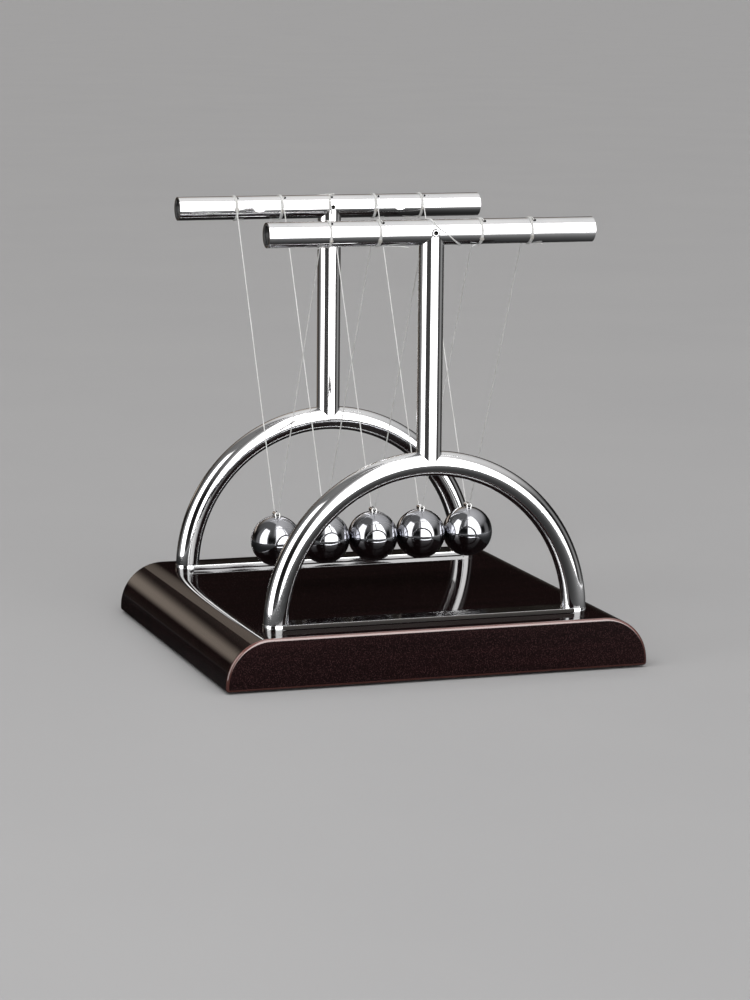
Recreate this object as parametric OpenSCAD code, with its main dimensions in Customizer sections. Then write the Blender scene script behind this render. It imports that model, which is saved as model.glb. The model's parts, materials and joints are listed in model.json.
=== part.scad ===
// Desk newtons cradle: five steel balls hang on V-shaped nylon lines between two chromed T frames,
// and the frames stand on a lacquered wooden block with rounded left and right sides.
// Millimetres. X runs along the crossbars, Y from the front frame to the rear frame, Z up.
// The origin is on the table, under the middle of the block.

/* [Base] */
// Width of the block, along the crossbars
base_w = 168; // [160:1:180]
// Depth of the block, from front to back
base_d = 158; // [150:1:170]
// Height of the block, without its pads
base_h = 19.5; // [18.5:0.5:24]
// Radius of the rounded left and right sides
side_r = 17.4; // [12:0.2:18]
// Diameter of each felt pad under the block
pad_d = 12; // [8:1:16]
// Thickness of each felt pad
pad_t = 0.8; // [0.4:0.1:2]

/* [Frames] */
// Distance between the middle planes of the two frames
frame_gap = 123.4; // [116:0.2:130]
// Outside radius of every frame tube
tube_r = 4.75; // [4:0.05:5]
// Wall thickness of every frame tube
tube_wall = 0.8; // [0.6:0.1:1.2]
// Radius of the arch, to the middle of its tube
arch_r = 60; // [56:0.5:62]
// Height of the crossbar's middle over the block's top
bar_rise = 147.1; // [130:0.1:160]
// Length of a crossbar
bar_len = 128.4; // [110:0.2:150]
// Width of the sill bar between the feet of an arch
sill_w = 9.4; // [6:0.2:9.4]
// Thickness of the sill bar
sill_t = 1.8; // [1:0.1:2.5]

/* [Balls and lines] */
// Distance between the middles of two neighbouring balls
pitch = 20; // [19:0.1:21]
// Free gap between two neighbouring balls at rest
ball_gap = 0.1; // [0.05:0.05:0.3]
// Height of a ball's middle over the block's top
ball_rise = 21.4; // [16:0.1:30]
// Sideways offset of the row of lines from the posts, where the lines leave the left end of their windings
row_x = -1; // [-1.2:0.1:-0.8]
// Thickness of the nylon line
line_d = 0.45; // [0.3:0.05:0.5]
// Outside diameter of the eyelet tube on each ball
eyelet_d = 2.3; // [2:0.1:2.8]
// Bore of the eyelet tube
eyelet_bore = 1.1; // [0.9:0.1:1.3]
// Length of the eyelet tube
eyelet_len = 3.6; // [3:0.2:5]
// Diameter of the holes that the lines enter
line_hole_d = 1.2; // [1:0.1:1.6]
// Angle of those holes from straight up, towards the front
line_hole_tilt = 32; // [20:1:40]

/* [Hidden] */

$fn = 96;
FRONT = -1;
REAR = 1;
ball_count = 5;
middle = 3;
seam = 0.01;
sill_gap = 0.05;
fit = 0.02;
over = 1;

base_top = pad_t + base_h;
frame_y = frame_gap / 2;
bore_r = tube_r - tube_wall;
arch_top = base_top + arch_r;
bar_z = base_top + bar_rise;
end_plug_inset = 0.9;
end_plug_len = 6;
end_plug_rim = 0.4;

// Screws, washers and the threaded plugs in the arch feet
screw_r = 2;
screw_hole_r = 2.2;
head_r = 3.8;
head_h = 2.8;
drive_d = 3;
drive_depth = 1.4;
washer_r = 4.5;
washer_t = 0.8;
recess_r = 5;
recess_h = 8.5;
plug_len = 8;
plug_arc = plug_len / arch_r * 180 / PI;

// Roll pin through each crossbar, at the tips of the post's upper ears
pin_r = 1.2;
pin_bore_r = 0.7;
pin_stand = 0.25;
ear_trim = 0.4;

// Shallow dimples left by the clamps that held the bars during plating
dimple_r = 2.4;
dimple_depth = 0.35;

// Nylon line: its middle runs on this radius round a crossbar
line_r = line_d / 2;
bend_r = line_r + 0.01;
wrap_r = tube_r + line_r + 0.03;
turn_pitch = 0.5;
full_turns = 2;
knot_r = 0.9;
knot_drop = 2.4;
bead_r = 0.4;
ear_angle = 68;
end_gap = (2 * line_r + 0.08) / wrap_r * 180 / PI;

ball_r = (pitch - ball_gap) / 2;
ball_z = base_top + ball_rise;
eyelet_r = eyelet_d / 2;
eyelet_rise = ball_r + 0.55;
eyelet_z = ball_z + eyelet_rise;
line_foot_y = eyelet_len / 2 + line_r;
// The tight line lies against the top of the eyelet's bore
line_z = eyelet_z + eyelet_bore / 2 - line_r - fit;

// Each line leaves its crossbar on the inner side, where the bar's surface runs the same way as the line.
// leave_up is that place's angle over the horizontal.
function lean_for(up) = atan2(frame_y - wrap_r * cos(up) - line_foot_y, bar_z + wrap_r * sin(up) - line_z);
leave_up = lean_for(lean_for(lean_for(26)));
leave_y = frame_y - wrap_r * cos(leave_up);
leave_z = bar_z + wrap_r * sin(leave_up);
leave_angle = 90 - leave_up;

function hole_x(i) = (i - middle) * pitch;
function line_x(i) = hole_x(i) + row_x;
// The windings lie on the side of their line that the ball never swings to
function winding_side(i) = i > middle ? -1 : 1;

// ---- base ----

module side_profile() {
    square_w = base_w - 2 * side_r;
    translate([-square_w / 2, 0]) square([square_w, base_h]);
    translate([-base_w / 2, 0]) square([base_w, base_h - side_r]);
    for (side = [-1, 1])
        translate([side * square_w / 2, base_h - side_r]) circle(r = side_r);
}

module clipped_profile() {
    intersection() {
        side_profile();
        translate([-base_w / 2, 0]) square([base_w, base_h]);
    }
}

module at_feet() {
    for (x = [-arch_r, arch_r], y = [-frame_y, frame_y])
        translate([x, y, pad_t]) children();
}

module base_block() {
    color([0.13, 0.075, 0.075])
    difference() {
        translate([0, base_d / 2, pad_t]) rotate([90, 0, 0])
            linear_extrude(base_d) clipped_profile();
        at_feet() {
            translate([0, 0, -over]) cylinder(r = recess_r, h = recess_h + over);
            cylinder(r = screw_hole_r, h = base_h + over);
        }
    }
}

module base_pads() {
    inset_x = 16;
    inset_y = 30;
    color([0.08, 0.08, 0.08])
    for (x = [-1, 1], y = [-1, 1])
        translate([x * (base_w / 2 - inset_x), y * (base_d / 2 - inset_y), 0])
            cylinder(d = pad_d, h = pad_t);
}

module screw() {
    shank_top = base_h + plug_len - 2;
    head_top = recess_h - washer_t;
    difference() {
        union() {
            translate([0, 0, head_top - head_h]) cylinder(r = head_r, h = head_h);
            translate([0, 0, head_top - head_h / 2]) cylinder(r = screw_r, h = shank_top - head_top + head_h / 2);
        }
        translate([0, 0, head_top - head_h - over]) cylinder(d = drive_d, h = drive_depth + over, $fn = 6);
    }
}

module frame_screws() {
    color([0.72, 0.72, 0.74]) at_feet() screw();
}

module screw_washers() {
    color([0.66, 0.67, 0.7])
    at_feet()
        translate([0, 0, recess_h - washer_t])
            difference() {
                cylinder(r = washer_r, h = washer_t);
                translate([0, 0, -over]) cylinder(r = screw_hole_r, h = washer_t + 2 * over);
            }
}

// ---- frames ----

module chrome() {
    color([0.86, 0.87, 0.89]) children();
}

// Sweeps a section along the arch, from the right foot over the top
module arch_sweep(side, arc = 180) {
    translate([0, side * frame_y, base_top]) rotate([90, 0, 0])
        rotate_extrude(angle = arc) translate([arch_r, 0]) children();
}

module arch(side) {
    arch_sweep(side)
        difference() {
            circle(r = tube_r);
            circle(r = bore_r);
        }
}

// A short threaded plug inside each foot of an arch
module arch_plugs(side) {
    color([0.7, 0.66, 0.5])
    for (turn = [0, 180])
        translate([0, side * frame_y, 0]) rotate([0, 0, turn]) translate([0, -side * frame_y, 0])
            difference() {
                arch_sweep(side, plug_arc) circle(r = bore_r - fit);
                translate([arch_r, side * frame_y, base_top - over])
                    cylinder(r = screw_r + fit, h = plug_len + 2 * over);
            }
}

// A flat bar that joins the feet of an arch, hollowed at its ends round the tubes
module sill(side) {
    difference() {
        translate([-arch_r, side * frame_y - sill_w / 2, base_top]) cube([2 * arch_r, sill_w, sill_t]);
        for (x = [-arch_r, arch_r])
            translate([x, side * frame_y, base_top - over]) cylinder(r = tube_r + sill_gap, h = sill_t + 2 * over);
    }
}

// The post's ends are hollowed to sit on the arch and under the crossbar
module post(side) {
    foot_z = arch_top + ear_trim;
    difference() {
        translate([0, side * frame_y, foot_z]) cylinder(r = tube_r, h = bar_z - ear_trim - foot_z);
        translate([0, side * frame_y, foot_z - over]) cylinder(r = bore_r, h = bar_z - foot_z + over);
        arch_sweep(side) circle(r = tube_r + seam);
        along_bar(side, bar_len) circle(r = tube_r + seam);
        pin_shape(side, pin_r + fit);
    }
}

// Sweeps a section along a crossbar, centred on the post
module along_bar(side, length, start = 0) {
    translate([start - length / 2, side * frame_y, bar_z]) rotate([90, 0, 90])
        linear_extrude(length) children();
}

module line_hole(side, i) {
    translate([hole_x(i), side * frame_y, bar_z]) rotate([line_hole_tilt, 0, 0])
        translate([0, 0, bore_r / 2]) cylinder(d = line_hole_d, h = tube_r);
}

// Two shallow round dimples on the inner face of a crossbar, half way between lines
module dimples(side) {
    cut_r = (dimple_r * dimple_r + dimple_depth * dimple_depth) / (2 * dimple_depth);
    for (x = [-1.5 * pitch, 1.5 * pitch])
        translate([side * (x + row_x), side * (frame_y - tube_r - cut_r + dimple_depth), bar_z])
            sphere(r = cut_r);
}

module crossbar(side) {
    difference() {
        along_bar(side, bar_len) circle(r = tube_r);
        along_bar(side, bar_len + 2 * over) circle(r = bore_r);
        for (i = [1:ball_count])
            if (side == REAR || i != middle) line_hole(side, i);
        pin_shape(side, pin_r + fit);
        dimples(side);
    }
}

// Black plugs set a little way into the ends of a crossbar, with bevelled rims
module end_plugs(side) {
    color([0.1, 0.1, 0.1])
    for (end = [-1, 1])
        translate([end * (bar_len / 2 - end_plug_inset), side * frame_y, bar_z]) rotate([0, -end * 90, 0]) {
            cylinder(r1 = bore_r - fit - end_plug_rim, r2 = bore_r - fit, h = end_plug_rim);
            translate([0, 0, end_plug_rim]) cylinder(r = bore_r - fit, h = end_plug_len - end_plug_rim);
        }
}

module pin_shape(side, r) {
    length = 2 * (tube_r + pin_stand);
    translate([0, side * frame_y + length / 2, bar_z]) rotate([90, 0, 0]) cylinder(r = r, h = length);
}

module bar_pin(side) {
    difference() {
        pin_shape(side, pin_r);
        translate([0, side * frame_y + 2 * tube_r, bar_z]) rotate([90, 0, 0])
            cylinder(r = pin_bore_r, h = 4 * tube_r);
    }
}

// ---- windings ----

module nylon() {
    color([0.86, 0.88, 0.88]) children();
}

// Places a shape on the line's path round the bar: angle 0 is the bar's top and 90 is its inner side
module on_bar(side, x, angle) {
    translate([x, side * frame_y, bar_z]) rotate([side * angle, 0, 0]) translate([0, 0, wrap_r]) children();
}

// Part of a turn of line round a crossbar, that starts at an angle and goes on for an arc
module turn_of_line(side, x, start, arc) {
    translate([x, side * frame_y, bar_z])
        rotate([180 + (side == REAR ? start : -start - arc), 0, 0]) rotate([0, 90, 0])
            rotate_extrude(angle = arc) translate([wrap_r, 0]) circle(r = line_r, $fn = 24);
}

// The end of a line: it enters its hole in the crossbar and is knotted inside
module knotted_end(side, i) {
    on_bar(side, hole_x(i), side * line_hole_tilt) {
        translate([0, 0, -knot_drop]) cylinder(r = line_r, h = knot_drop, $fn = 24);
        translate([0, 0, -knot_drop]) sphere(r = knot_r, $fn = 24);
        sphere(r = bead_r, $fn = 24);
    }
}

// Two full turns beside the hanging line, and a last turn that ends just before the line leaves the bar
module winding(side, i) {
    for (n = [1:full_turns])
        turn_of_line(side, line_x(i) + n * winding_side(i) * turn_pitch, 0, 360);
    turn_of_line(side, line_x(i), -250, 250 + leave_angle - end_gap);
    knotted_end(side, i);
}

// The middle line can't circle the bar at the post, so it only passes over the bar
module middle_winding(side) {
    turn_of_line(side, line_x(middle), -ear_angle, ear_angle + leave_angle - end_gap);
    turn_of_line(side, line_x(middle) + 2 * turn_pitch, -ear_angle, 2 * ear_angle);
}

module windings(side) {
    nylon() {
        for (i = [1:ball_count])
            if (i != middle) winding(side, i);
        middle_winding(side);
    }
}

// ---- pendulums ----

module ball(i) {
    color([0.55, 0.55, 0.58])
    translate([line_x(i), 0, 0])
        difference() {
            translate([0, 0, ball_z]) sphere(r = ball_r);
            eyelet_rod(eyelet_r + seam, eyelet_len + 2 * seam);
        }
}

module eyelet_rod(r, length, z = eyelet_z) {
    translate([0, length / 2, z]) rotate([90, 0, 0]) cylinder(r = r, h = length, $fn = 48);
}

module eyelet(i) {
    color([0.75, 0.75, 0.77])
    translate([line_x(i), 0, 0])
        difference() {
            eyelet_rod(eyelet_r, eyelet_len);
            eyelet_rod(eyelet_bore / 2, eyelet_len + 2 * over);
        }
}

// One leg of the V, from the eyelet up to the place where it meets the crossbar.
// Its top ends in a short bend along the swing axis.
module line_leg(side) {
    rise = leave_z - line_z;
    run = leave_y - line_foot_y;
    translate([0, side * line_foot_y, line_z]) {
        sphere(r = bend_r, $fn = 24);
        rotate([-side * atan2(run, rise), 0, 0]) cylinder(r = line_r, h = norm([run, rise]), $fn = 24);
    }
    translate([0, side * leave_y, leave_z]) {
        sphere(r = bend_r, $fn = 24);
        rotate([side * 90, 0, 0]) cylinder(r = line_r, h = 2 * line_r, $fn = 24);
    }
}

module line(i) {
    nylon()
    translate([line_x(i), 0, 0]) {
        line_leg(FRONT);
        line_leg(REAR);
        eyelet_rod(line_r, 2 * line_foot_y, line_z);
    }
}

base_block();
base_pads();
frame_screws();
screw_washers();
chrome() arch(FRONT);  // front_arch
arch_plugs(FRONT);  // front_arch_plugs
chrome() sill(FRONT);  // front_sill
chrome() post(FRONT);  // front_post
chrome() crossbar(FRONT);  // front_crossbar
end_plugs(FRONT);  // front_bar_plugs
chrome() bar_pin(FRONT);  // front_bar_pin
windings(FRONT);  // front_windings
chrome() arch(REAR);  // rear_arch
arch_plugs(REAR);  // rear_arch_plugs
chrome() sill(REAR);  // rear_sill
chrome() post(REAR);  // rear_post
chrome() crossbar(REAR);  // rear_crossbar
end_plugs(REAR);  // rear_bar_plugs
chrome() bar_pin(REAR);  // rear_bar_pin
windings(REAR);  // rear_windings
ball(1);  // ball_1
ball(2);  // ball_2
ball(3);  // ball_3
ball(4);  // ball_4
ball(5);  // ball_5
eyelet(1);  // eyelet_1
eyelet(2);  // eyelet_2
eyelet(3);  // eyelet_3
eyelet(4);  // eyelet_4
eyelet(5);  // eyelet_5
line(1);  // line_1
line(2);  // line_2
line(3);  // line_3
line(4);  // line_4
line(5);  // line_5
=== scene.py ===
"""Desk newtons cradle: looks, fine detail and studio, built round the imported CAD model. Metres, Z up."""
import json
import math
import random

import bmesh
import bpy
from mathutils import Matrix, Vector


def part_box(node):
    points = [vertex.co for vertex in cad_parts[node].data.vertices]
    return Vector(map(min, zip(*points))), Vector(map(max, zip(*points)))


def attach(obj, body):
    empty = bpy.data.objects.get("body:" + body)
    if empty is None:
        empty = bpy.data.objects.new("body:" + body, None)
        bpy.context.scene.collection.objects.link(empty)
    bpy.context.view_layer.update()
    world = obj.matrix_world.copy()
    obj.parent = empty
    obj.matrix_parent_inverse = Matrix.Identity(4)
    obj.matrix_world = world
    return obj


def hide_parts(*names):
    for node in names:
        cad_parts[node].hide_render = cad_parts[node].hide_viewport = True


MM = 0.001
# The two T frames, each with the sign of its Y.
SIDES = {"front": -1, "rear": 1}
BALLS = (1, 2, 3, 4, 5)
MIDDLE = 3
STAND = "stand"
BALL_BODY = {i: f"ball_{i}_hung" for i in BALLS}

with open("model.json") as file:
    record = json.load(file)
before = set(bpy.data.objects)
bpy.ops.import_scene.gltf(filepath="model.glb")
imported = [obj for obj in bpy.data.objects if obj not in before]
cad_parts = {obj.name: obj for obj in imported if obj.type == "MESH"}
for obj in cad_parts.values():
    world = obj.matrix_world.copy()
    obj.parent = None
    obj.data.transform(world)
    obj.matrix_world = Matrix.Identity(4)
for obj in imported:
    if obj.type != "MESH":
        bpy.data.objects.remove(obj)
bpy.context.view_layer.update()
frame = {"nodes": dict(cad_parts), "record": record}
nodes = frame["nodes"]
record = frame["record"]


# ---------------------------------------------------------------- measurements from the frame

def middle_of(node):
    low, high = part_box(node)
    return (low + high) / 2


def size_of(node):
    low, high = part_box(node)
    return high - low


def hinge_of(body):
    """Where the record puts the hinge of a body."""
    joints = record["behaviour"]["joints"]
    return Vector(next(joint["pos_m"] for joint in joints if joint["child"] == body))


BAR = {side: middle_of(side + "_crossbar") for side in SIDES}
TUBE_R = size_of("front_crossbar").z / 2
ARCH_R = size_of("front_arch").x / 2 - TUBE_R
BASE_LOW, BASE_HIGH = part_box("base_block")
BASE_TOP = BASE_HIGH.z
BASE_RISE = BASE_TOP - BASE_LOW.z
BASE_EDGE_R = 1.2 * MM
BALL_R = size_of("ball_1").y / 2
HANG = {i: hinge_of(BALL_BODY[i]) for i in BALLS}
LINE_R = size_of("line_1").x / 2
WRAP_R = size_of("front_windings").z / 2 - LINE_R
EYELET_BORE = 1.1 * MM
PIN_BORE = 1.4 * MM


# ---------------------------------------------------------------- node materials

class Nodes:
    """Short calls for building a node tree."""

    def __init__(self, tree):
        self.tree = tree
        self.count = 0

    def add(self, kind, **settings):
        node = self.tree.nodes.new(kind)
        self.count += 1
        node.location = (self.count % 8 * 200, -(self.count // 8) * 250)
        for key, value in settings.items():
            setattr(node, key, value)
        return node

    def link(self, source, target):
        self.tree.links.new(source, target)

    def put(self, socket, value):
        if isinstance(value, bpy.types.NodeSocket):
            self.link(value, socket)
        else:
            socket.default_value = value

    def place(self, scale=(1, 1, 1), kind="Object"):
        coords = self.add("ShaderNodeTexCoord")
        mapping = self.add("ShaderNodeMapping")
        self.link(coords.outputs[kind], mapping.inputs["Vector"])
        mapping.inputs["Scale"].default_value = scale
        return mapping.outputs["Vector"]

    def noise(self, where, scale, detail=4.0, roughness=0.55):
        noise = self.add("ShaderNodeTexNoise")
        self.link(where, noise.inputs["Vector"])
        noise.inputs["Scale"].default_value = scale
        noise.inputs["Detail"].default_value = detail
        noise.inputs["Roughness"].default_value = roughness
        return noise.outputs["Fac"]

    def specks(self, where, scale, size):
        """1 in small round specks, 0 elsewhere."""
        cells = self.add("ShaderNodeTexVoronoi")
        self.link(where, cells.inputs["Vector"])
        cells.inputs["Scale"].default_value = scale
        return self.fade(cells.outputs["Distance"], size, size * 0.4)

    def fade(self, value, low, high, out_low=0.0, out_high=1.0):
        """out_low at low, out_high at high, a smooth change between and flat beyond."""
        ranged = self.add("ShaderNodeMapRange", interpolation_type="SMOOTHSTEP")
        self.put(ranged.inputs["Value"], value)
        ranged.inputs["From Min"].default_value = min(low, high)
        ranged.inputs["From Max"].default_value = max(low, high)
        ranged.inputs["To Min"].default_value = out_low if low < high else out_high
        ranged.inputs["To Max"].default_value = out_high if low < high else out_low
        return ranged.outputs["Result"]

    def choose(self, factor, a, b):
        """Number a where factor is 0 and number b where it is 1."""
        node = self.add("ShaderNodeMix", data_type="FLOAT")
        self.put(node.inputs["Factor"], factor)
        self.put(node.inputs[2], a)
        self.put(node.inputs[3], b)
        return node.outputs[0]

    def math(self, operation, a, b=0.0):
        node = self.add("ShaderNodeMath", operation=operation)
        self.put(node.inputs[0], a)
        self.put(node.inputs[1], b)
        return node.outputs[0]

    def plus(self, a, b):
        return self.math("ADD", a, b)

    def minus(self, a, b):
        return self.math("SUBTRACT", a, b)

    def times(self, a, b):
        return self.math("MULTIPLY", a, b)

    def larger(self, a, b):
        return self.math("MAXIMUM", a, b)

    def size(self, value):
        return self.math("ABSOLUTE", value)

    def squared(self, value):
        return self.math("POWER", value, 2.0)

    def distance(self, a, b):
        """The length of the vector (a, b)."""
        return self.math("POWER", self.plus(self.squared(a), self.squared(b)), 0.5)

    def parts(self, vector):
        """The X, Y and Z of a vector."""
        split = self.add("ShaderNodeSeparateXYZ")
        self.link(vector, split.inputs[0])
        return split.outputs

    def facing(self):
        """The X, Y and Z of the surface's direction."""
        return self.parts(self.add("ShaderNodeNewGeometry").outputs["Normal"])

    def mix(self, factor, a, b):
        """Colour a where factor is 0 and colour b where it is 1."""
        # The Mix node has a socket for each kind of value: 6 and 7 in, and 2 out, are the colours.
        node = self.add("ShaderNodeMix", data_type="RGBA")
        self.put(node.inputs["Factor"], factor)
        self.put(node.inputs[6], a)
        self.put(node.inputs[7], b)
        return node.outputs[2]

    def bump(self, height, strength, distance):
        bump = self.add("ShaderNodeBump")
        self.link(height, bump.inputs["Height"])
        bump.inputs["Strength"].default_value = strength
        bump.inputs["Distance"].default_value = distance
        return bump.outputs["Normal"]


def new_material(name, **principled):
    """(material, Nodes, its Principled node)"""
    material = bpy.data.materials.new(name)
    material.use_nodes = True
    shader = material.node_tree.nodes["Principled BSDF"]
    for key, value in principled.items():
        shader.inputs[key.replace("_", " ")].default_value = value
    return material, Nodes(material.node_tree), shader


def reopened(material):
    """(Nodes, its Principled node, what feeds its colour, what feeds its roughness)"""
    shader = material.node_tree.nodes["Principled BSDF"]
    feeds = [shader.inputs[key].links[0].from_socket for key in ("Base Color", "Roughness")]
    return Nodes(material.node_tree), shader, *feeds


def tone(red, green, blue):
    return (red, green, blue, 1.0)


def polished_metal(name, light, dark, shine, smudge, grain_scale):
    """Bright plated or polished metal: finger smudges, faint polishing lines and a few pits."""
    material, n, shader = new_material(name, Metallic=1.0)
    where = n.place()
    stretched = n.place(grain_scale)
    blotches = n.noise(where, 45.0, 3.0)
    fine = n.noise(where, 900.0, 5.0, 0.7)
    lines = n.noise(stretched, 1.0, 3.0, 0.6)
    pits = n.specks(where, 260.0, 0.05)
    smudges = n.fade(blotches, 0.45, 0.72, shine, smudge)
    streaks = n.times(n.fade(lines, 0.4, 0.7), 0.05)
    grit = n.times(fine, 0.035)
    n.link(n.plus(n.plus(smudges, streaks), grit), shader.inputs["Roughness"])
    shade = n.mix(n.fade(blotches, 0.35, 0.75), light, dark)
    n.link(n.mix(pits, shade, tone(0.08, 0.075, 0.07)), shader.inputs["Base Color"])
    n.link(n.bump(lines, 0.05, 0.00002), shader.inputs["Normal"])
    return material


def shade_upright_faces(material, lowest):
    """Paints shade on the front and back faces of a flat bar above a height: a near-black colour, and
    rougher.
    """
    n, shader, colour, rough = reopened(material)
    upright = n.fade(n.size(n.facing()[1]), 0.25, 0.9)
    above = n.fade(n.parts(n.place())[2], lowest, lowest + 0.2 * MM)
    shaded_faces = n.times(upright, above)
    # Painted shade: the upright faces get a near-black colour.
    n.link(n.mix(shaded_faces, colour, tone(0.045, 0.042, 0.04)), shader.inputs["Base Color"])
    n.link(n.plus(rough, n.times(shaded_faces, 0.25)), shader.inputs["Roughness"])
    return material


def brighten_end_faces(material):
    """Gives the faces at the front and back ends a painted highlight, a paler colour, and a rougher finish.
    """
    n, shader, colour, rough = reopened(material)
    end = n.fade(n.size(n.facing()[1]), 0.55, 0.85)
    # Painted highlight: the end faces are made paler.
    n.link(n.mix(end, colour, tone(0.97, 0.97, 0.96)), shader.inputs["Base Color"])
    n.link(n.plus(rough, n.times(end, 0.42)), shader.inputs["Roughness"])
    return material


def hole_shade_material():
    """Matt and nearly black, painted shade for the string holes, with a little grey dust on it."""
    material, n, shader = new_material("hole_shade_black", Specular_IOR_Level=0.08)
    where = n.place()
    dust = n.fade(n.noise(where, 900.0, 3.0), 0.55, 0.72)
    n.link(n.mix(dust, tone(0.0022, 0.0022, 0.0024), tone(0.012, 0.011, 0.010)), shader.inputs["Base Color"])
    n.link(n.fade(dust, 0.0, 1.0, 0.82, 0.93), shader.inputs["Roughness"])
    n.link(n.bump(n.noise(where, 2600.0), 0.2, 0.00004), shader.inputs["Normal"])
    return material


def moulded_plastic():
    """Black plug: finely spark-eroded surface with a dusty haze."""
    material, n, shader = new_material("black_plastic", Specular_IOR_Level=0.25)
    where = n.place()
    grain = n.noise(where, 1800.0, 3.0, 0.6)
    haze = n.noise(where, 220.0, 4.0)
    n.link(n.mix(haze, tone(0.007, 0.007, 0.008), tone(0.020, 0.019, 0.018)), shader.inputs["Base Color"])
    n.link(n.fade(haze, 0.3, 0.7, 0.38, 0.6), shader.inputs["Roughness"])
    n.link(n.bump(grain, 0.4, 0.00006), shader.inputs["Normal"])
    return material


def paint_bore_shade(material, bore_share, rim=0.03):
    """Paints shade into a bore along Y and round its rim: black and not metallic. bore_share and rim are
    shares of the outside width.
    """
    n, shader, colour, _ = reopened(material)
    x, _, z = n.parts(n.place(kind="Generated"))
    radius = n.distance(n.minus(x, 0.5), n.minus(z, 0.5))
    edge = bore_share / 2 + rim
    bore_shade = n.fade(radius, edge, edge + 0.04, 1.0, 0.0)
    # Painted shade in the bore and on its rim.
    n.link(n.mix(bore_shade, colour, tone(0.006, 0.006, 0.006)), shader.inputs["Base Color"])
    n.link(n.minus(1.0, bore_shade), shader.inputs["Metallic"])
    return material


def lacquered_wood():
    """Dark wine lacquer over wood: grain, fine speckle, dust and orange peel; painted shade on the top and
    rounded sides, and a painted pink highlight on the upper rounded edges.
    """
    material, n, shader = new_material("lacquered_wood", Coat_Weight=1.0, Roughness=0.45)
    where = n.place()
    ends, edge_highlight, top = block_faces(n, where)
    grain = n.noise(n.place((9.0, 160.0, 160.0)), 1.0, 8.0, 0.65)
    pores = n.noise(n.place((60.0, 1500.0, 1500.0)), 1.0, 3.0, 0.5)
    wine = n.mix(n.fade(grain, 0.35, 0.7), tone(0.009, 0.0036, 0.0038), tone(0.021, 0.0080, 0.0085))
    wine = n.mix(n.fade(pores, 0.55, 0.7, 0.0, 0.6), wine, tone(0.006, 0.0026, 0.0026))
    speckle = n.noise(where, 2500.0, 2.0, 0.6)
    wine = n.mix(n.fade(speckle, 0.45, 0.75, 0.0, 0.5), wine, tone(0.070, 0.033, 0.034))
    # Painted shade: the top and the rounded sides get a much darker wine than the flat front and back.
    shaded_wine = n.mix(0.6, wine, tone(0.0024, 0.0021, 0.0021))
    wine = n.mix(ends, shaded_wine, wine)
    # Painted highlight: a pale pink colour along the upper rounded edges; the same mask also raises their
    # reflection.
    wine = n.mix(n.times(edge_highlight, 0.38), wine, tone(0.45, 0.15, 0.12))
    dust = n.specks(where, 420.0, 0.03)
    n.link(n.mix(n.times(dust, 0.06), wine, tone(0.25, 0.23, 0.22)), shader.inputs["Base Color"])
    n.link(n.times(edge_highlight, 0.3), shader.inputs["Specular IOR Level"])
    wear = n.noise(where, 30.0, 4.0)
    coat = n.plus(n.fade(wear, 0.4, 0.75, 0.015, 0.05), n.times(dust, 0.2))
    n.link(coat, shader.inputs["Coat Roughness"])
    index = n.plus(1.5, n.times(edge_highlight, 0.44))
    n.link(n.minus(index, n.times(top, 0.3)), shader.inputs["Coat IOR"])
    n.link(n.minus(1.0, n.times(top, 0.4)), shader.inputs["Coat Weight"])
    peel = n.noise(where, 420.0, 1.0, 0.4)
    n.link(n.bump(peel, 0.03, 0.00003), shader.inputs["Coat Normal"])
    n.link(n.bump(grain, 0.15, 0.0001), shader.inputs["Normal"])
    return material


def block_faces(n, where):
    """(1 on the flat front and back, 1 on the upper rounded edges round them where the highlight is painted,
    1 on the flat top)
    """
    _, y, z = n.parts(where)
    facing = n.facing()
    end_y = BASE_HIGH.y
    flat = n.fade(n.size(facing[1]), 0.975, 0.995)
    near_end = n.fade(n.size(y), end_y - 0.95 * BASE_EDGE_R, end_y - 0.6 * BASE_EDGE_R)
    raised = n.fade(z, BASE_LOW.z + 0.3 * BASE_RISE, BASE_LOW.z + 0.8 * BASE_RISE, 0.4, 1.0)
    edges = n.times(near_end, n.minus(1.0, flat))
    top = n.fade(facing[2], 0.985, 0.9999)
    return flat, n.times(edges, raised), top


def nylon():
    """Cloudy monofilament, a little yellower and duller in places."""
    material, n, shader = new_material("nylon", Transmission_Weight=0.12, IOR=1.5)
    where = n.place((300.0, 300.0, 120.0))
    cloud = n.noise(where, 1.0, 4.0)
    n.link(n.mix(n.fade(cloud, 0.35, 0.7), tone(0.93, 0.935, 0.93), tone(0.74, 0.74, 0.72)),
           shader.inputs["Base Color"])
    n.link(n.fade(cloud, 0.3, 0.7, 0.2, 0.4), shader.inputs["Roughness"])
    n.link(n.bump(n.noise(where, 6.0, 2.0), 0.25, 0.00003), shader.inputs["Normal"])
    return material


def dried_glue():
    """Set glue: cloudy, yellowish and lumpy."""
    material, n, shader = new_material("dried_glue", IOR=1.48, Transmission_Weight=0.25)
    where = n.place()
    cloud = n.noise(where, 700.0, 4.0)
    n.link(n.mix(cloud, tone(0.82, 0.80, 0.76), tone(0.55, 0.53, 0.48)), shader.inputs["Base Color"])
    n.link(n.fade(cloud, 0.3, 0.7, 0.2, 0.5), shader.inputs["Roughness"])
    n.link(n.bump(n.noise(where, 2500.0, 3.0), 0.5, 0.0001), shader.inputs["Normal"])
    return material


def worked_metal(name, light, dark, low, high, ring_scale):
    """Turned or plated small hardware, duller than the chrome."""
    material, n, shader = new_material(name, Metallic=1.0)
    where = n.place()
    stain = n.noise(where, 180.0, 5.0)
    marks = n.noise(n.place(ring_scale), 1.0, 3.0)
    n.link(n.mix(n.fade(stain, 0.35, 0.7), light, dark), shader.inputs["Base Color"])
    n.link(n.fade(stain, 0.3, 0.75, low, high), shader.inputs["Roughness"])
    n.link(n.bump(marks, 0.3, 0.00008), shader.inputs["Normal"])
    return material


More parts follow.
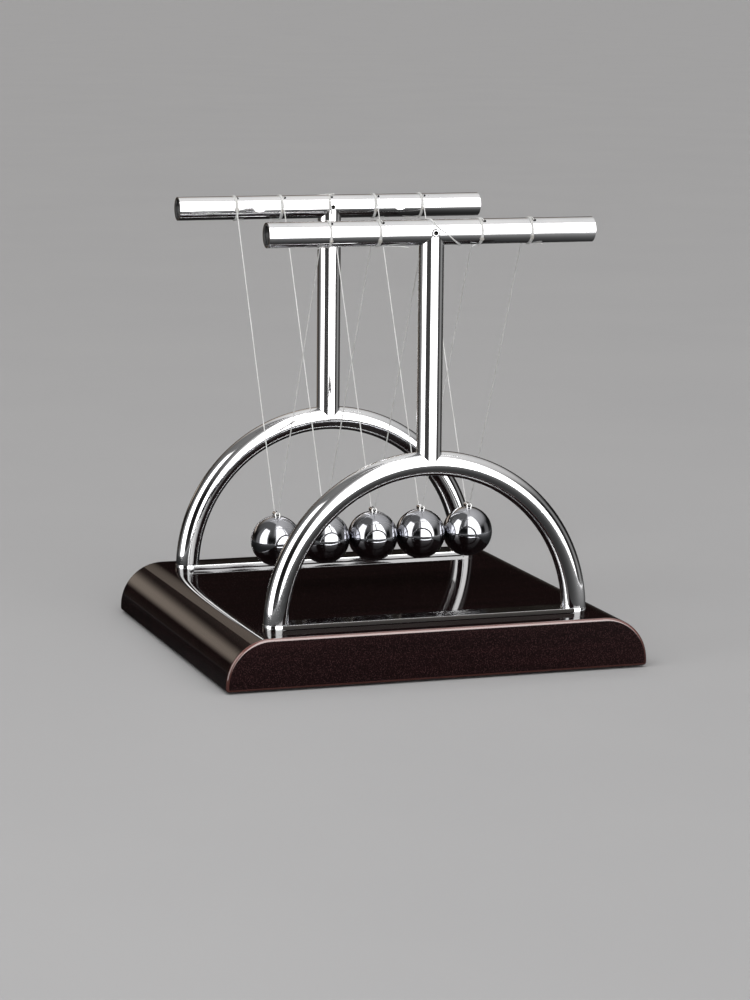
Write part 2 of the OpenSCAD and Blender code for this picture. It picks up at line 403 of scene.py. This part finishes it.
def felt():
    """Short black fibres, a little grey with dust in patches."""
    material, n, shader = new_material("felt", Roughness=0.95, Sheen_Weight=0.7)
    where = n.place()
    fibre = n.noise(n.place((2200.0, 900.0, 2200.0)), 1.0, 6.0, 0.75)
    patch = n.noise(where, 350.0, 4.0)
    n.link(n.mix(patch, tone(0.012, 0.012, 0.013), tone(0.045, 0.043, 0.042)), shader.inputs["Base Color"])
    n.link(n.bump(fibre, 0.9, 0.0003), shader.inputs["Normal"])
    return material


# How fast the polishing or turning marks change along X, Y and Z, per metre.
MARKS_ALONG_X = (260.0, 900.0, 900.0)
MARKS_ALONG_Y = (900.0, 260.0, 900.0)
MARKS_ALONG_BORE = (2000.0, 400.0, 2000.0)
MARKS_ROUND_BALL = (500.0, 500.0, 1400.0)
MARKS_ROUND_HEAD = (900.0, 900.0, 90.0)
MARKS_ROUND_PLUG = (700.0, 700.0, 2500.0)
FINE_GRIT = (2000.0, 2000.0, 2000.0)
COARSE_GRIT = (1500.0, 1500.0, 1500.0)
BRIGHT = tone(0.93, 0.93, 0.94)
SMUDGED = tone(0.84, 0.85, 0.87)

CHROME = polished_metal("chrome", BRIGHT, SMUDGED, 0.025, 0.1, MARKS_ALONG_X)
FRONT_SILL = shade_upright_faces(
    polished_metal("front_sill", tone(0.88, 0.88, 0.89), tone(0.78, 0.79, 0.8), 0.05, 0.14, MARKS_ALONG_X),
    BASE_TOP + 0.1 * MM)
BALL_STEEL = polished_metal("ball_steel", tone(0.52, 0.525, 0.555), tone(0.42, 0.425, 0.455), 0.02, 0.075,
                            MARKS_ROUND_BALL)
WELD_STEEL = polished_metal("weld_steel", tone(0.42, 0.42, 0.43), tone(0.25, 0.25, 0.26), 0.2, 0.4, FINE_GRIT)
EYELET_STEEL = paint_bore_shade(
    brighten_end_faces(polished_metal("eyelet_steel", tone(0.78, 0.78, 0.79), tone(0.6, 0.6, 0.61), 0.08, 0.2,
                              MARKS_ALONG_BORE)),
    EYELET_BORE / size_of("eyelet_1").z)
PIN_METAL = paint_bore_shade(
    polished_metal("bar_pin", BRIGHT, SMUDGED, 0.05, 0.15, MARKS_ALONG_Y),
    PIN_BORE / size_of("front_bar_pin").z, 0.08)
PLASTIC = moulded_plastic()
# Painted shade for the string holes.
HOLE_SHADE = hole_shade_material()
WOOD = lacquered_wood()
NYLON = nylon()
GLUE = dried_glue()
ZINC = worked_metal("zinc_plate", tone(0.62, 0.62, 0.63), tone(0.42, 0.42, 0.44), 0.22, 0.45,
                    MARKS_ROUND_HEAD)
BRASS = worked_metal("plug_brass", tone(0.62, 0.48, 0.24), tone(0.42, 0.30, 0.14), 0.25, 0.5,
                     MARKS_ROUND_PLUG)
SEAM = worked_metal("seam_braze", tone(0.22, 0.21, 0.20), tone(0.10, 0.095, 0.09), 0.3, 0.6, COARSE_GRIT)
FELT = felt()


# ---------------------------------------------------------------- CAD nodes: material, fine edges, shading

SMOOTH_BELOW = math.radians(35)
BEVEL_ABOVE = math.radians(38)
FLAT_BELOW = math.radians(0.5)
WELD_DISTANCE = 0.002 * MM


def dress(node, material, edge=0.0, segments=3):
    """Gives a CAD node its material, smooth shading and small real edge radii."""
    obj = nodes[node]
    obj.data.materials.clear()
    obj.data.materials.append(material)
    obj.data.shade_smooth()
    obj.data.set_sharp_from_angle(angle=SMOOTH_BELOW)
    if edge:
        round_edges(obj, edge, segments)


def round_edges(obj, radius, segments):
    """Rounds the sharp edges, first joining the thin flat triangles that would stop it."""
    weld = obj.modifiers.new("weld", "WELD")
    weld.merge_threshold = WELD_DISTANCE
    merge = obj.modifiers.new("flat_faces", "DECIMATE")
    merge.decimate_type = "DISSOLVE"
    merge.angle_limit = FLAT_BELOW
    bevel = obj.modifiers.new("edges", "BEVEL")
    bevel.width = radius
    bevel.segments = segments
    bevel.limit_method = "ANGLE"
    bevel.angle_limit = BEVEL_ABOVE
    bevel.use_clamp_overlap = False
    shading = obj.modifiers.new("shading", "WEIGHTED_NORMAL")
    shading.weight = 100
    shading.keep_sharp = False


dress("base_block", WOOD, BASE_EDGE_R, 6)
dress("base_pads", FELT, 0.15 * MM, 2)
dress("frame_screws", ZINC, 0.12 * MM, 2)
dress("screw_washers", ZINC, 0.08 * MM, 2)
for side in SIDES:
    dress(side + "_arch", CHROME)
    dress(side + "_arch_plugs", BRASS)
    dress(side + "_sill", FRONT_SILL if side == "front" else CHROME, 0.3 * MM, 4)
    dress(side + "_post", CHROME)
    dress(side + "_crossbar", CHROME)
    dress(side + "_bar_plugs", PLASTIC, 0.1 * MM, 2)
    dress(side + "_bar_pin", PIN_METAL, 0.1 * MM, 2)
    dress(side + "_windings", NYLON)
for i in BALLS:
    dress(f"ball_{i}", BALL_STEEL)
    dress(f"eyelet_{i}", EYELET_STEEL)
    dress(f"line_{i}", NYLON)


# ---------------------------------------------------------------- shapes made in code

def new_piece(name, mesh, material, body, smooth_angle=40):
    """Puts a mesh in the scene as a piece that rides on a body, smooth up to an angle in degrees."""
    obj = bpy.data.objects.new(name, mesh)
    bpy.context.scene.collection.objects.link(obj)
    mesh.materials.append(material)
    mesh.shade_smooth()
    mesh.set_sharp_from_angle(angle=math.radians(smooth_angle))
    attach(obj, body)
    return obj


def to_mesh(name, shape):
    """Turns a bmesh into a mesh with all its faces outwards."""
    bmesh.ops.recalc_face_normals(shape, faces=shape.faces)
    mesh = bpy.data.meshes.new(name)
    shape.to_mesh(mesh)
    shape.free()
    return mesh


def turned(name, profile, count, ring=False):
    """A mesh turned about Z from (radius, height) points. With ring True the last point joins the first."""
    shape = bmesh.new()
    rings = []
    for radius, height in profile:
        turns = [math.tau * k / count for k in range(count)] if radius else [0.0]
        rings.append([shape.verts.new((radius * math.cos(t), radius * math.sin(t), height)) for t in turns])
    after = rings[1:] + (rings[:1] if ring else [])
    for first, second in zip(rings, after):
        for k in range(count):
            nxt = (k + 1) % count
            corners = [first[k % len(first)], first[nxt % len(first)],
                       second[nxt % len(second)], second[k % len(second)]]
            shape.faces.new(list(dict.fromkeys(corners)))
    return to_mesh(name, shape)


def tube_along(name, path, radius, sides=12):
    """A closed tube mesh along a list of points."""
    shape = bmesh.new()
    rings = []
    across = None
    for k, point in enumerate(path):
        ahead = (path[min(k + 1, len(path) - 1)] - path[max(k - 1, 0)]).normalized()
        if across is None:
            across = ahead.orthogonal().normalized()
        across = (across - ahead * across.dot(ahead)).normalized()
        up = ahead.cross(across)
        ring = []
        for j in range(sides):
            turn = math.tau * j / sides
            offset = (across * math.cos(turn) + up * math.sin(turn)) * radius
            ring.append(shape.verts.new(point + offset))
        rings.append(ring)
    for first, second in zip(rings, rings[1:]):
        for j in range(sides):
            nxt = (j + 1) % sides
            shape.faces.new((first[j], first[nxt], second[nxt], second[j]))
    shape.faces.new(list(reversed(rings[0])))
    shape.faces.new(rings[-1])
    return to_mesh(name, shape)


def round_bar(side, x, angle, radius=WRAP_R):
    """A point round a crossbar. angle 0 is its top and 90 degrees its inner side."""
    turn = math.radians(angle)
    centre = BAR[side]
    sign = SIDES[side]
    return Vector((x, centre.y - sign * radius * math.sin(turn), centre.z + radius * math.cos(turn)))


def smooth(a, b, t):
    """From a at t = 0 to b at t = 1, starting and ending gently."""
    t = max(0.0, min(1.0, t))
    return a + (b - a) * t * t * (3 - 2 * t)


def rounded(points, steps=8):
    """A smooth curve through (x, angle) pairs, as a longer list of pairs."""
    curve = []
    for k in range(len(points) - 1):
        before = points[max(k - 1, 0)]
        start, end = points[k], points[k + 1]
        after = points[min(k + 2, len(points) - 1)]
        for step in range(steps):
            t = step / steps
            curve.append(tuple(
                0.5 * (2 * start[j] + (end[j] - before[j]) * t
                       + (2 * before[j] - 5 * start[j] + 4 * end[j] - after[j]) * t * t
                       + (3 * start[j] - before[j] - 3 * end[j] + after[j]) * t ** 3)
                for j in range(2)))
    curve.append(points[-1])
    return curve


# ---------------------------------------------------------------- the wound ends of the nylon lines

TURN_R = LINE_R * 0.93
HOLE_STEP = 1.0 * MM
HOLE_ANGLE = 32.0
HOLE_R = 0.6 * MM
# Where a line leaves the rear bar, and how far round the bar that is.
LEAVE_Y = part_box("line_1")[1].y - 2 * LINE_R
LEAVE_ANGLE = math.degrees(math.atan2(BAR["rear"].y - LEAVE_Y, HANG[1].z - BAR["rear"].z))
# Which side of its free line each winding lies on: away from the way the end balls swing.
LAY = {i: (1 if i == 1 else -1) for i in BALLS}
LAID_WIDTH = {i: (0.8 if i == 1 else 0.95) * MM for i in BALLS}
TURNS = 2
ANGLE_STEP = 8.0
# Degrees a line takes to cross from its hole to its lay. A quick one stays clear of a line that swings.
SLOW_CROSSING = 120.0
QUICK_CROSSING = 25.0
# A winding wanders this much along the bar, except in its last stretch before the free line.
WANDER = 0.05 * MM
STRAIGHT_END = 200.0


def winding_path(side, i):
    """From the hole, two turns round the bar, to the place where the line hangs free."""
    start = SIDES[side] * HOLE_ANGLE
    end = LEAVE_ANGLE + 360.0 * TURNS
    crossing = QUICK_CROSSING if side == "rear" and LAY[i] < 0 else SLOW_CROSSING
    line_x = HANG[i].x
    first_x = line_x + LAY[i] * LAID_WIDTH[i]
    enter_x = line_x + HOLE_STEP - HOLE_R / 2
    path = [round_bar(side, enter_x, start, TUBE_R - 0.5 * MM)]
    angle = start
    while angle < end:
        laid = smooth(enter_x, first_x, (angle - start) / crossing)
        if angle > start + crossing:
            laid = first_x + (line_x - first_x) * (angle - start - crossing) / (end - start - crossing)
        if angle < end - STRAIGHT_END:
            laid += WANDER * math.sin(math.radians(angle * 0.7 + 70 * i))
        path.append(round_bar(side, laid, angle))
        angle += ANGLE_STEP
    path.append(round_bar(side, line_x, end))
    return path


def joint_loop_path(side):
    """The middle line's loop round the T joint: slantwise over the bar beside the post, and back."""
    # Each point is millimetres along the bar and degrees round it from the hole.
    over_the_bar = [(0.1, 0), (0.4, -22), (1.9, -42), (4.3, -60), (8.0, -98), (11.2, -138)]
    back_under_it = [(9.6, -158), (6.6, -178), (4.9, -200), (3.1, -222), (1.2, -238)]
    past_the_post = [(-0.9, -256), (-1.5, -290), (-1.4, -330), (-0.6, -362)]
    # Points further out than this lie on the other side of the post at the rear.
    near_post = 2
    hole = SIDES[side] * HOLE_ANGLE
    mirror = -SIDES[side]
    points = over_the_bar + back_under_it + past_the_post
    points = [(x * mirror if x > near_post else x, hole + angle) for x, angle in points]
    return [round_bar(side, x * MM, angle, WRAP_R + 0.03 * MM) for x, angle in rounded(points)]


def middle_path(side):
    """The middle line's own short wrap, from beside its hole to where it hangs free."""
    start = SIDES[side] * HOLE_ANGLE - 20
    count = 24
    return [round_bar(side, HANG[MIDDLE].x + smooth(0.6 * MM, 0.0, k / count),
                      start + (LEAVE_ANGLE - start) * k / count) for k in range(count + 1)]


def wind_lines():
    """Real turns of line in place of the plain CAD windings."""
    for side in SIDES:
        for i in BALLS:
            path = middle_path(side) if i == MIDDLE else winding_path(side, i)
            mesh = tube_along(f"{side}_winding_{i}", path, TURN_R)
            piece = new_piece(mesh.name, mesh, NYLON, STAND)
            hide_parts(side + "_windings")
        mesh = tube_along(side + "_joint_loop", joint_loop_path(side), TURN_R)
        new_piece(mesh.name, mesh, NYLON, STAND)


def hole_shade_discs():
    """A small dark disc in each hole that a line enters: painted shade, dished so that its middle is in real
    shadow too.
    """
    # Shares of the hole's radius, and millimetres above the tube's surface.
    dish = [(0.0, -0.95), (0.98, -0.95), (1.12, 0.0), (1.1, 0.1), (0.98, 0.1), (0.86, -0.6), (0.0, -0.6)]
    profile = [(HOLE_R * share, height * MM) for share, height in dish]
    tilt = Matrix.Rotation(math.radians(HOLE_ANGLE), 4, "X")
    for side in SIDES:
        for i in BALLS:
            if side == "front" and i == MIDDLE:
                continue
            # Painted shade: a dark disc in the hole.
            mesh = turned(f"{side}_hole_shade_disc_{i}", profile, 40)
            mouth = round_bar(side, HANG[i].x + HOLE_STEP, SIDES[side] * HOLE_ANGLE, TUBE_R)
            mesh.transform(Matrix.Translation(mouth) @ tilt)
            new_piece(mesh.name, mesh, HOLE_SHADE, STAND, 50)


def loose_tail(name, side, x, angle, along, droop):
    """The cut end of a line, which lies along the bar and lifts away from it."""
    path = []
    count = 16
    for k in range(count + 1):
        t = k / count
        lift = 0.25 * MM + droop * t * t
        path.append(round_bar(side, x + along * t, angle + 12 * math.sin(2.5 * t), TUBE_R + lift))
    mesh = tube_along(name, path, TURN_R * 0.9, 10)
    new_piece(name, mesh, NYLON, STAND)


def glue_drop(name, side, x, angle, spread):
    """A small set drop of clear glue over a winding."""
    shape = bmesh.new()
    bmesh.ops.create_icosphere(shape, subdivisions=4, radius=1.0)
    draw = random.Random(name)
    phases = [draw.uniform(0, math.tau) for _ in range(3)]
    for vert in shape.verts:
        across, along, out = vert.co
        swell = 1 + 0.16 * math.sin(3 * across + phases[0]) + 0.14 * math.sin(4 * along + phases[1])
        swell += 0.08 * math.sin(7 * out + phases[2])
        vert.co = Vector((across * spread * 1.05, along * spread * 1.35, out * spread * 0.42)) * swell
    mesh = to_mesh(name, shape)
    turn = Matrix.Rotation(math.radians(SIDES[side] * angle), 4, "X")
    mesh.transform(Matrix.Translation(round_bar(side, x, angle, TUBE_R + 0.32 * MM)) @ turn)
    new_piece(name, mesh, GLUE, STAND)


def finish_windings():
    """A drop of glue on each winding and the cut ends of the lines."""
    # Degrees round the bar of each drop, then (length, droop) of each cut end in millimetres.
    drops = {"front": (-118, -122, -112, -120, -116), "rear": (96, 104, 99, 108, 101)}
    for side, angles in drops.items():
        for i, angle in zip(BALLS, angles):
            if i != MIDDLE:
                glue_drop(f"{side}_glue_{i}", side, HANG[i].x + LAY[i] * 0.45 * MM, angle, 0.62 * MM)
    tails = {
        "front": {1: (-3.2, 0.5), 2: (10.0, 0.7), 4: (-2.8, 0.9), 5: (3.4, 0.4)},
        "rear": {1: (3.0, 0.5), 2: (-3.6, 0.8), 4: (3.2, 0.6), 5: (-6.6, 0.5)},
    }
    under = {"front": -168, "rear": 160}
    for side, by_line in tails.items():
        for i, (length, droop) in by_line.items():
            start_x = HANG[i].x + (1.3 if length > 0 else -0.9) * MM
            loose_tail(f"{side}_tail_{i}", side, start_x, under[side], length * MM, droop * MM)


# ---------------------------------------------------------------- seams and fillets

def seam_curves(side):
    """Where the post meets its arch and its crossbar."""
    centre = BAR[side]
    count = 96
    foot, head = [], []
    for k in range(count + 1):
        turn = math.tau * k / count
        x, y = TUBE_R * math.cos(turn), TUBE_R * math.sin(turn)
        fill = TUBE_R * abs(math.cos(turn))
        foot.append(Vector((x, centre.y + y, BASE_TOP + math.sqrt((ARCH_R + fill) ** 2 - x * x))))
        head.append(Vector((x, centre.y + y, centre.z - fill)))
    return foot, head


def braze_seams():
    """A hair-thin line of tarnished braze at each joint of the T frames."""
    for side in SIDES:
        for place, curve in zip(("foot", "head"), seam_curves(side)):
            name = f"{side}_post_{place}_seam"
            mesh = tube_along(name, curve, 0.11 * MM, 8)
            new_piece(name, mesh, SEAM, STAND)


def foot_collars():
    """The thin collar round each foot of an arch, level with the flat sill bar."""
    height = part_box("front_sill")[1].z - BASE_TOP
    inner = TUBE_R - 0.15 * MM
    outer = TUBE_R + 0.16 * MM
    soft = 0.1 * MM
    profile = [(inner, 0.0), (outer, 0.0), (outer, height - soft), (outer - 0.3 * soft, height - 0.3 * soft),
               (outer - soft, height), (inner, height)]
    for side in SIDES:
        for label, x in (("left", -ARCH_R), ("right", ARCH_R)):
            mesh = turned(f"{side}_{label}_foot_collar", profile, 64, ring=True)
            mesh.transform(Matrix.Translation((x, BAR[side].y, BASE_TOP)))
            new_piece(mesh.name, mesh, CHROME, STAND, 50)


def pin_shade_rings():
    """A dark ring of painted shade where each hollow pin stands in its crossbar."""
    count = 48
    for side in SIDES:
        pin = middle_of(side + "_bar_pin")
        ring_r = size_of(side + "_bar_pin").x / 2 + 0.12 * MM
        sign = SIDES[side]
        path = []
        for k in range(count + 1):
            turn = math.tau * k / count
            x = ring_r * math.cos(turn)
            z = pin.z + ring_r * math.sin(turn)
            depth = math.sqrt(TUBE_R ** 2 - (z - BAR[side].z) ** 2)
            path.append(Vector((pin.x + x, BAR[side].y + sign * depth, z)))
        # Painted shade: a dark ring round the pin's foot.
        mesh = tube_along(side + "_pin_shade_ring", path, 0.28 * MM, 8)
        new_piece(mesh.name, mesh, PLASTIC, STAND)


def eyelet_fillets():
    """The bead of weld where each eyelet sits in the top of its ball."""
    count = 64
    for i in BALLS:
        eye = middle_of(f"eyelet_{i}")
        eye_size = size_of(f"eyelet_{i}")
        ball = Vector((eye.x, 0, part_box(f"ball_{i}")[0].z + BALL_R))
        eye_r = eye_size.z / 2
        half = eye_size.y / 2
        path = []
        for k in range(count + 1):
            turn = math.tau * k / count
            x = eye_r * math.cos(turn)
            y = half * math.sin(turn)
            x *= min(1.0, 1.0 - 0.12 * abs(math.sin(turn)) ** 6)
            height = math.sqrt(max(BALL_R ** 2 - x * x - y * y, 0))
            path.append(ball + Vector((x, y, height)))
        mesh = tube_along(f"eyelet_weld_{i}", path, 0.16 * MM, 8)
        new_piece(mesh.name, mesh, WELD_STEEL, BALL_BODY[i])


wind_lines()
hole_shade_discs()
finish_windings()
braze_seams()
foot_collars()
pin_shade_rings()
eyelet_fillets()


# ---------------------------------------------------------------- studio and camera

CAMERA_AZIMUTH = math.radians(-18.84)
CAMERA_ELEVATION = math.radians(9.75)
CAMERA_ROLL = math.radians(0.566)
CAMERA_TARGET = Vector((9.65, 28.75, 50.83)) * MM
CAMERA_DISTANCE = 1.2967
CAMERA_LENS = 115.1
FLOOR_SIZE = 40.0
FLOOR_TONES = (tone(0.50, 0.50, 0.51), tone(0.54, 0.54, 0.545))
BACKDROP = tone(0.42, 0.42, 0.425)
DAYLIGHT = tone(1.0, 0.99, 0.98)
WARM_LIGHT = tone(1.0, 0.84, 0.70)
KEY_PLACE = (-0.75, -0.85, 1.1)
KEY_TARGET = (0, 0, 0.08)
KEY_SIZE = 0.5
KEY_POWER = 5.0
TABLE_R = 0.42
TABLE_DROP = 1 * MM
# Polished surfaces see the windows this much brighter than matt ones.
WINDOW_GLARE = 2.5
# Bright and dim sheets of the room: bearings in degrees right of the camera's, sines of the lowest and
# highest elevation, and strength.
WINDOWS = ((-77, -42, -0.36, 0.78, 1.6), (4, 64, -0.36, 0.97, 1.6))
WALLS = ((90, 116, -0.3, 0.7, 0.2), (-172, -134, -0.3, -0.12, 0.14), (-100, -78, -0.3, 0.8, 0.22),
         (-156, -131, 0.15, 0.28, 0.75), (182, 206, 0.29, 0.5, 0.4))


def key_lamp():
    """A soft square lamp aimed at the object. It casts the shadow but shows in no reflection."""
    lamp = bpy.data.lights.new("key", "AREA")
    lamp.shape = "RECTANGLE"
    lamp.size = KEY_SIZE
    lamp.size_y = KEY_SIZE
    lamp.energy = KEY_POWER
    obj = bpy.data.objects.new("key", lamp)
    obj.location = KEY_PLACE
    obj.rotation_euler = (Vector(KEY_TARGET) - obj.location).to_track_quat("-Z", "Y").to_euler()
    obj.visible_glossy = False
    bpy.context.scene.collection.objects.link(obj)


def reflected_table():
    """A glowing round disc that only reflections see: a dark tabletop painted as light, so polished parts
    have something near to mirror.
    """
    shape = bmesh.new()
    bmesh.ops.create_circle(shape, cap_ends=True, segments=128, radius=TABLE_R)
    mesh = to_mesh("reflected_table", shape)
    table = bpy.data.objects.new("reflected_table", mesh)
    bpy.context.scene.collection.objects.link(table)
    table.location.z = -TABLE_DROP
    table.visible_camera = False
    table.visible_diffuse = False
    table.visible_shadow = False
    material, n, shader = new_material("reflected_table")
    x, y, _ = n.parts(n.place())
    away = n.distance(x, y)
    # Painted sheen of the table: dim near the object, brighter further out, at the rim, at the front and on
    # the window side.
    near = n.fade(away, 0.09, 0.34, 0.035, 0.16)
    rim = n.fade(away, 0.34, TABLE_R, 0.0, 0.5)
    front = n.fade(y, -0.1, 0.12, 1.0, 0.2)
    window_side = n.fade(x, 0.0, 0.24, 0.95, 1.7)
    glow = n.add("ShaderNodeEmission")
    level = n.times(n.times(n.plus(near, rim), front), window_side)
    n.link(level, glow.inputs["Strength"])
    n.link(glow.outputs[0], material.node_tree.nodes["Material Output"].inputs["Surface"])
    material.node_tree.nodes.remove(shader)
    material.cycles.emission_sampling = "NONE"
    mesh.materials.append(material)


def pale_floor():
    """The plain floor. Reflections see the dark table under it instead."""
    shape = bmesh.new()
    bmesh.ops.create_grid(shape, x_segments=1, y_segments=1, size=FLOOR_SIZE)
    mesh = to_mesh("floor", shape)
    floor = bpy.data.objects.new("floor", mesh)
    bpy.context.scene.collection.objects.link(floor)
    floor.visible_glossy = False
    material, n, shader = new_material("floor_paper", Roughness=0.75)
    cloud = n.noise(n.place(), 6.0, 3.0)
    n.link(n.mix(cloud, *FLOOR_TONES), shader.inputs["Base Color"])
    mesh.materials.append(material)


def bright_sheets(w, bearing, z, sheets):
    """The summed light of upright sheets, each soft at its edges."""
    def band(value, low, high, soft):
        """1 between low and high, fading to 0 over soft on each side."""
        rising = w.fade(value, low - soft, low + soft)
        falling = w.fade(value, high - soft, high + soft, 1.0, 0.0)
        return w.times(rising, falling)

    total = 0.0
    for from_deg, to_deg, low, high, strength in sheets:
        left, right = (math.radians(angle) + CAMERA_AZIMUTH for angle in (from_deg, to_deg))
        wide = band(bearing, left, right, math.radians(6))
        tall = band(z, low, high, 0.05)
        total = w.plus(total, w.times(w.times(wide, tall), strength))
    return total


def overhead(w, bearing, z):
    """The pale ceiling, which is darker on the left except far behind."""
    rightward = w.fade(bearing, math.radians(-35), math.radians(-18), 0.22, 1.0)
    behind_left = w.fade(bearing, math.radians(-180), math.radians(-140), 1.0, 0.0)
    light = w.plus(w.fade(z, 0.26, 0.66, 0.0, 0.55), w.fade(z, 0.6, 1.0, 0.0, 0.25))
    return w.times(light, w.larger(rightward, behind_left))


def studio_light():
    """The world: a room for reflections, a softer one for matt surfaces and plain grey for the camera."""
    world = bpy.data.worlds.new("studio")
    bpy.context.scene.world = world
    world.use_nodes = True
    world.node_tree.nodes.clear()
    w = Nodes(world.node_tree)
    x, y, z = w.parts(w.add("ShaderNodeTexCoord").outputs["Generated"])
    bearing = w.math("ARCTAN2", x, w.times(y, -1.0))

    windows = bright_sheets(w, bearing, z, WINDOWS)
    room = w.larger(bright_sheets(w, bearing, z, WALLS), overhead(w, bearing, z))
    gloom = w.fade(z, -0.1, 0.1, 0.05, 0.011)
    mirrored = w.plus(w.larger(w.times(windows, WINDOW_GLARE), room), gloom)
    soft = w.plus(w.larger(windows, w.fade(z, 0.3, 0.75, 0.0, 0.5)), 0.04)
    path = w.add("ShaderNodeLightPath")
    lit = w.add("ShaderNodeBackground")
    w.link(w.choose(path.outputs["Is Glossy Ray"], soft, mirrored), lit.inputs["Strength"])
    warm = w.times(w.fade(y, 0.6, 0.9), w.fade(z, 0.5, 0.7, 1.0, 0.0))
    w.link(w.mix(warm, DAYLIGHT, WARM_LIGHT), lit.inputs["Color"])
    plain = w.add("ShaderNodeBackground")
    plain.inputs["Color"].default_value = BACKDROP
    mixed = w.add("ShaderNodeMixShader")
    w.link(path.outputs["Is Camera Ray"], mixed.inputs["Fac"])
    w.link(lit.outputs[0], mixed.inputs[1])
    w.link(plain.outputs[0], mixed.inputs[2])
    w.link(mixed.outputs[0], w.add("ShaderNodeOutputWorld").inputs["Surface"])
    bpy.context.scene.view_settings.view_transform = "Standard"


def add_camera():
    """A long lens at the photograph's angle, a little from the left and above."""
    azimuth, elevation, roll = CAMERA_AZIMUTH, CAMERA_ELEVATION, CAMERA_ROLL
    back = Vector((math.sin(azimuth) * math.cos(elevation), -math.cos(azimuth) * math.cos(elevation),
                   math.sin(elevation)))
    right = (-back).cross(Vector((0, 0, 1))).normalized()
    up = right.cross(-back)
    image_right = right * math.cos(roll) + up * math.sin(roll)
    image_up = up * math.cos(roll) - right * math.sin(roll)
    data = bpy.data.cameras.new("camera")
    data.sensor_fit = "VERTICAL"
    data.sensor_height = 36.0
    data.lens = CAMERA_LENS
    data.clip_start = 0.05
    camera = bpy.data.objects.new("camera", data)
    bpy.context.scene.collection.objects.link(camera)
    turn = Matrix((image_right, image_up, back)).transposed().to_4x4()
    camera.matrix_world = Matrix.Translation(CAMERA_TARGET + back * CAMERA_DISTANCE) @ turn
    bpy.context.scene.camera = camera


pale_floor()
studio_light()
key_lamp()
reflected_table()
add_camera()
